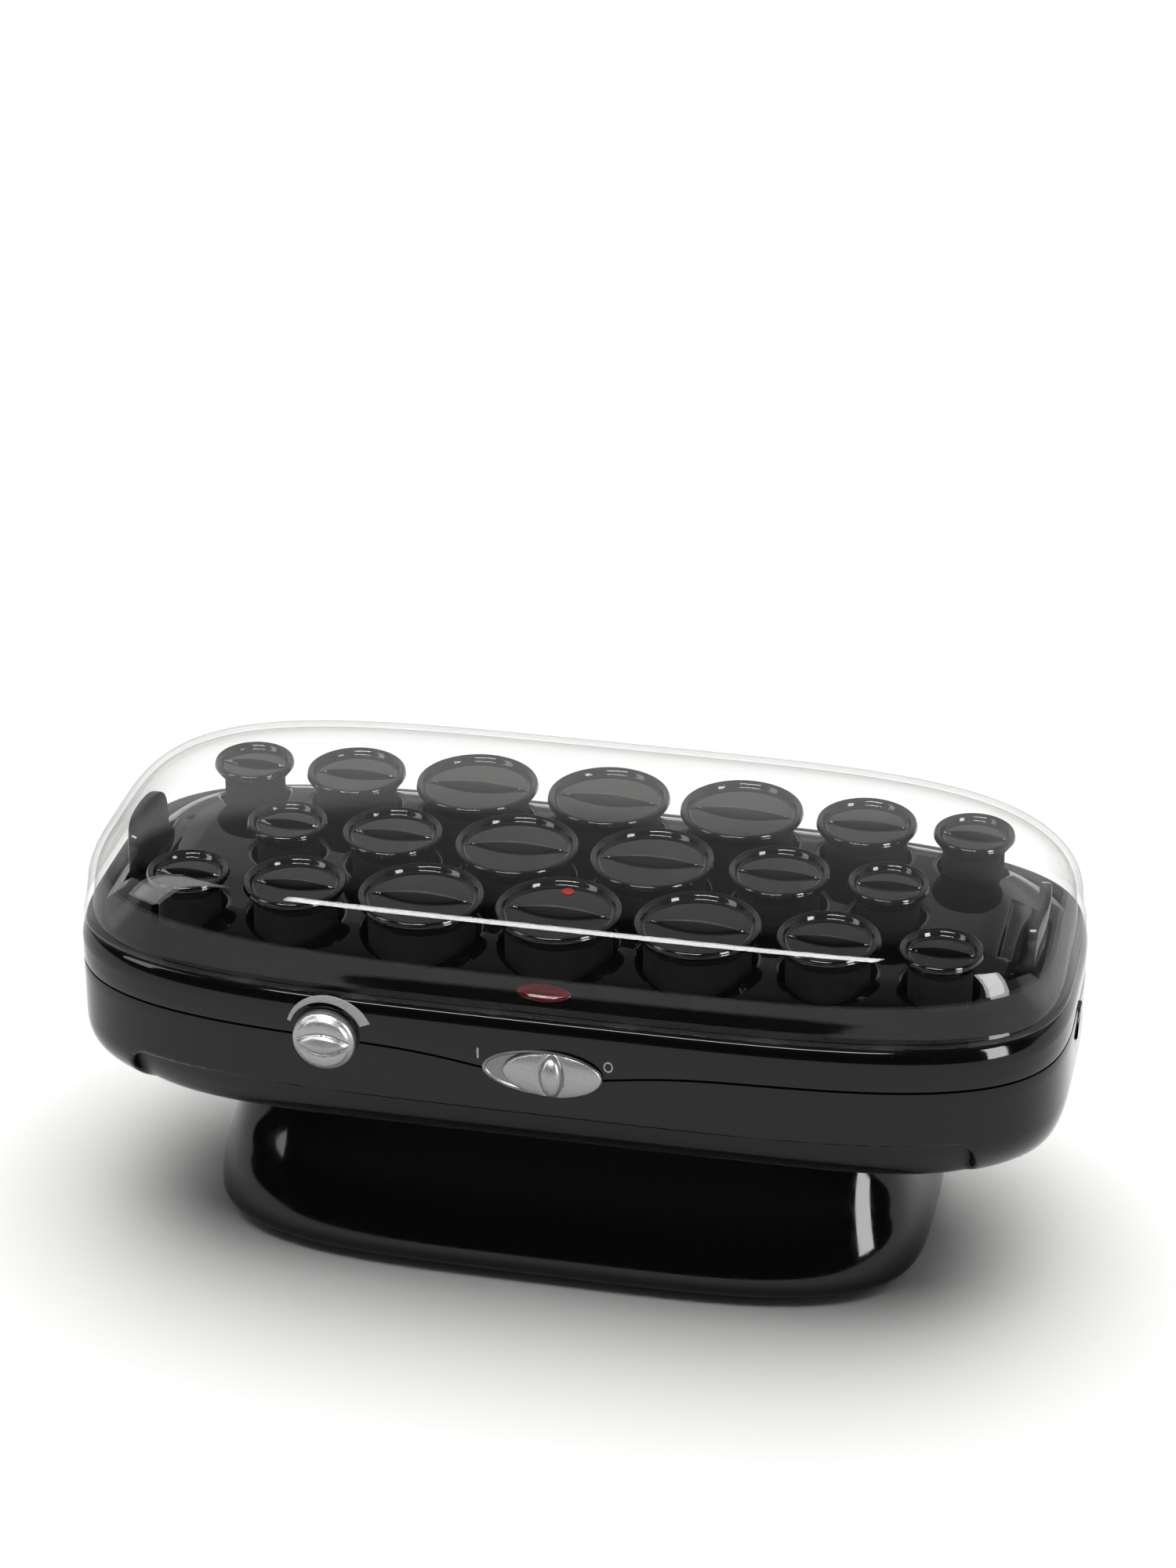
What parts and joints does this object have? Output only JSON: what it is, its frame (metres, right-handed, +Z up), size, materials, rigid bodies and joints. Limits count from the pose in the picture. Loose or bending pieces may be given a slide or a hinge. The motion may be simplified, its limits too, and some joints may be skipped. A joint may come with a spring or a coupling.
{
  "type": "heated hair roller set",
  "caption": "Heated hair roller set: velvet rollers stand on heated posts in an oval gloss case on a flared foot, under a clear lift-off lid, with a heat knob and a slide switch.",
  "frame": {"origin": "on the surface the set stands on, under the middle of the case", "axes": "+X along the case to the right as seen from the controls, +Y to the back, +Z up; the knob and switch face -Y"},
  "size_m": [0.3024, 0.1473, 0.1335],
  "materials": {
    "clear_lid": "clear polished plastic",
    "tray_gloss": "high-gloss moulded plastic",
    "case_gloss": "gloss moulded plastic",
    "heater_aluminium": "as-cast, satin",
    "element_steel": "heat-stained steel sheath",
    "satin_silver": "satin silver finish on moulded plastic",
    "inner_plastic": "matte technical plastic",
    "red_lens": "translucent red, polished",
    "lamp_glass": "small glow lamp",
    "rubber": "matte rubber",
    "roller_velvet": "short flocked velvet",
    "smoky_cap": "smoky gloss plastic"
  },
  "bodies": {
    "root": {"tray": "tray_gloss", "upper_case": "case_gloss", "lower_case": "case_gloss", "foot": "case_gloss", "heater_plate": "heater_aluminium", "heating_element": "element_steel", "control_board": "inner_plastic", "switch_bezel": "satin_silver", "indicator_lens": "red_lens", "indicator_lamp": "lamp_glass", "cord_gland": "rubber", "rubber_foot_front_left": "rubber", "rubber_foot_front_right": "rubber", "rubber_foot_back_left": "rubber", "rubber_foot_back_right": "rubber"},
    "lid": {"lid": "clear_lid"},
    "knob": {"knob": "satin_silver"},
    "switch_slider": {"switch_slider": "satin_silver"},
    "latch_left": {"latch_left": "case_gloss"},
    "latch_right": {"latch_right": "case_gloss"},
    "roller_front_1": {"front_1_barrel": "roller_velvet", "front_1_cap": "smoky_cap"},
    "roller_front_2": {"front_2_barrel": "roller_velvet", "front_2_cap": "smoky_cap"},
    "roller_front_3": {"front_3_barrel": "roller_velvet", "front_3_cap": "smoky_cap"},
    "roller_front_4": {"front_4_barrel": "roller_velvet", "front_4_cap": "smoky_cap"},
    "roller_front_5": {"front_5_barrel": "roller_velvet", "front_5_cap": "smoky_cap"},
    "roller_front_6": {"front_6_barrel": "roller_velvet", "front_6_cap": "smoky_cap"},
    "roller_front_7": {"front_7_barrel": "roller_velvet", "front_7_cap": "smoky_cap"},
    "roller_middle_1": {"middle_1_barrel": "roller_velvet", "middle_1_cap": "smoky_cap"},
    "roller_middle_2": {"middle_2_barrel": "roller_velvet", "middle_2_cap": "smoky_cap"},
    "roller_middle_3": {"middle_3_barrel": "roller_velvet", "middle_3_cap": "smoky_cap"},
    "roller_middle_4": {"middle_4_barrel": "roller_velvet", "middle_4_cap": "smoky_cap"},
    "roller_middle_5": {"middle_5_barrel": "roller_velvet", "middle_5_cap": "smoky_cap"},
    "roller_middle_6": {"middle_6_barrel": "roller_velvet", "middle_6_cap": "smoky_cap"},
    "roller_back_1": {"back_1_barrel": "roller_velvet", "back_1_cap": "smoky_cap"},
    "roller_back_2": {"back_2_barrel": "roller_velvet", "back_2_cap": "smoky_cap"},
    "roller_back_3": {"back_3_barrel": "roller_velvet", "back_3_cap": "smoky_cap"},
    "roller_back_4": {"back_4_barrel": "roller_velvet", "back_4_cap": "smoky_cap"},
    "roller_back_5": {"back_5_barrel": "roller_velvet", "back_5_cap": "smoky_cap"},
    "roller_back_6": {"back_6_barrel": "roller_velvet", "back_6_cap": "smoky_cap"},
    "roller_back_7": {"back_7_barrel": "roller_velvet", "back_7_cap": "smoky_cap"}
  },
  "joints": [
    {"name": "lid_lift", "type": "slide", "parent": "root", "child": "lid", "axis": [0, 0, 1], "range_m": [0, 0.14]},
    {"name": "knob_turn", "type": "hinge", "parent": "root", "child": "knob", "pos_m": [-0.063, -0.068, 0.085], "axis": [0, 1, 0], "range_deg": [0, 180]},
    {"name": "switch_slide", "type": "slide", "parent": "root", "child": "switch_slider", "axis": [-1, 0, 0], "range_m": [0, 0.006]},
    {"name": "latch_left_press", "type": "slide", "parent": "root", "child": "latch_left", "axis": [1, 0, 0], "range_m": [0, 0.0025], "stiffness_N_per_m": 400, "springref_m": -0.001},
    {"name": "latch_right_press", "type": "slide", "parent": "root", "child": "latch_right", "axis": [-1, 0, 0], "range_m": [0, 0.0025], "stiffness_N_per_m": 400, "springref_m": -0.001},
    {"name": "lift_front_1", "type": "slide", "parent": "root", "child": "roller_front_1", "axis": [0, 0, 1], "range_m": [0, 0.07]},
    {"name": "lift_front_2", "type": "slide", "parent": "root", "child": "roller_front_2", "axis": [0, 0, 1], "range_m": [0, 0.07]},
    {"name": "lift_front_3", "type": "slide", "parent": "root", "child": "roller_front_3", "axis": [0, 0, 1], "range_m": [0, 0.07]},
    {"name": "lift_front_4", "type": "slide", "parent": "root", "child": "roller_front_4", "axis": [0, 0, 1], "range_m": [0, 0.07]},
    {"name": "lift_front_5", "type": "slide", "parent": "root", "child": "roller_front_5", "axis": [0, 0, 1], "range_m": [0, 0.07]},
    {"name": "lift_front_6", "type": "slide", "parent": "root", "child": "roller_front_6", "axis": [0, 0, 1], "range_m": [0, 0.07]},
    {"name": "lift_front_7", "type": "slide", "parent": "root", "child": "roller_front_7", "axis": [0, 0, 1], "range_m": [0, 0.07]},
    {"name": "lift_middle_1", "type": "slide", "parent": "root", "child": "roller_middle_1", "axis": [0, 0, 1], "range_m": [0, 0.07]},
    {"name": "lift_middle_2", "type": "slide", "parent": "root", "child": "roller_middle_2", "axis": [0, 0, 1], "range_m": [0, 0.07]},
    {"name": "lift_middle_3", "type": "slide", "parent": "root", "child": "roller_middle_3", "axis": [0, 0, 1], "range_m": [0, 0.07]},
    {"name": "lift_middle_4", "type": "slide", "parent": "root", "child": "roller_middle_4", "axis": [0, 0, 1], "range_m": [0, 0.07]},
    {"name": "lift_middle_5", "type": "slide", "parent": "root", "child": "roller_middle_5", "axis": [0, 0, 1], "range_m": [0, 0.07]},
    {"name": "lift_middle_6", "type": "slide", "parent": "root", "child": "roller_middle_6", "axis": [0, 0, 1], "range_m": [0, 0.07]},
    {"name": "lift_back_1", "type": "slide", "parent": "root", "child": "roller_back_1", "axis": [0, 0, 1], "range_m": [0, 0.07]},
    {"name": "lift_back_2", "type": "slide", "parent": "root", "child": "roller_back_2", "axis": [0, 0, 1], "range_m": [0, 0.07]},
    {"name": "lift_back_3", "type": "slide", "parent": "root", "child": "roller_back_3", "axis": [0, 0, 1], "range_m": [0, 0.07]},
    {"name": "lift_back_4", "type": "slide", "parent": "root", "child": "roller_back_4", "axis": [0, 0, 1], "range_m": [0, 0.07]},
    {"name": "lift_back_5", "type": "slide", "parent": "root", "child": "roller_back_5", "axis": [0, 0, 1], "range_m": [0, 0.07]},
    {"name": "lift_back_6", "type": "slide", "parent": "root", "child": "roller_back_6", "axis": [0, 0, 1], "range_m": [0, 0.07]},
    {"name": "lift_back_7", "type": "slide", "parent": "root", "child": "roller_back_7", "axis": [0, 0, 1], "range_m": [0, 0.07]}
  ],
  "couplings": [
    {"joint": "lift_front_1", "follows": "lid_lift", "ratio": 0.5},
    {"joint": "lift_front_2", "follows": "lid_lift", "ratio": 0.5},
    {"joint": "lift_front_3", "follows": "lid_lift", "ratio": 0.5},
    {"joint": "lift_front_4", "follows": "lid_lift", "ratio": 0.5},
    {"joint": "lift_front_5", "follows": "lid_lift", "ratio": 0.5},
    {"joint": "lift_front_6", "follows": "lid_lift", "ratio": 0.5},
    {"joint": "lift_front_7", "follows": "lid_lift", "ratio": 0.5},
    {"joint": "lift_middle_1", "follows": "lid_lift", "ratio": 0.5},
    {"joint": "lift_middle_2", "follows": "lid_lift", "ratio": 0.5},
    {"joint": "lift_middle_3", "follows": "lid_lift", "ratio": 0.5},
    {"joint": "lift_middle_4", "follows": "lid_lift", "ratio": 0.5},
    {"joint": "lift_middle_5", "follows": "lid_lift", "ratio": 0.5},
    {"joint": "lift_middle_6", "follows": "lid_lift", "ratio": 0.5},
    {"joint": "lift_back_1", "follows": "lid_lift", "ratio": 0.5},
    {"joint": "lift_back_2", "follows": "lid_lift", "ratio": 0.5},
    {"joint": "lift_back_3", "follows": "lid_lift", "ratio": 0.5},
    {"joint": "lift_back_4", "follows": "lid_lift", "ratio": 0.5},
    {"joint": "lift_back_5", "follows": "lid_lift", "ratio": 0.5},
    {"joint": "lift_back_6", "follows": "lid_lift", "ratio": 0.5},
    {"joint": "lift_back_7", "follows": "lid_lift", "ratio": 0.5}
  ]
}
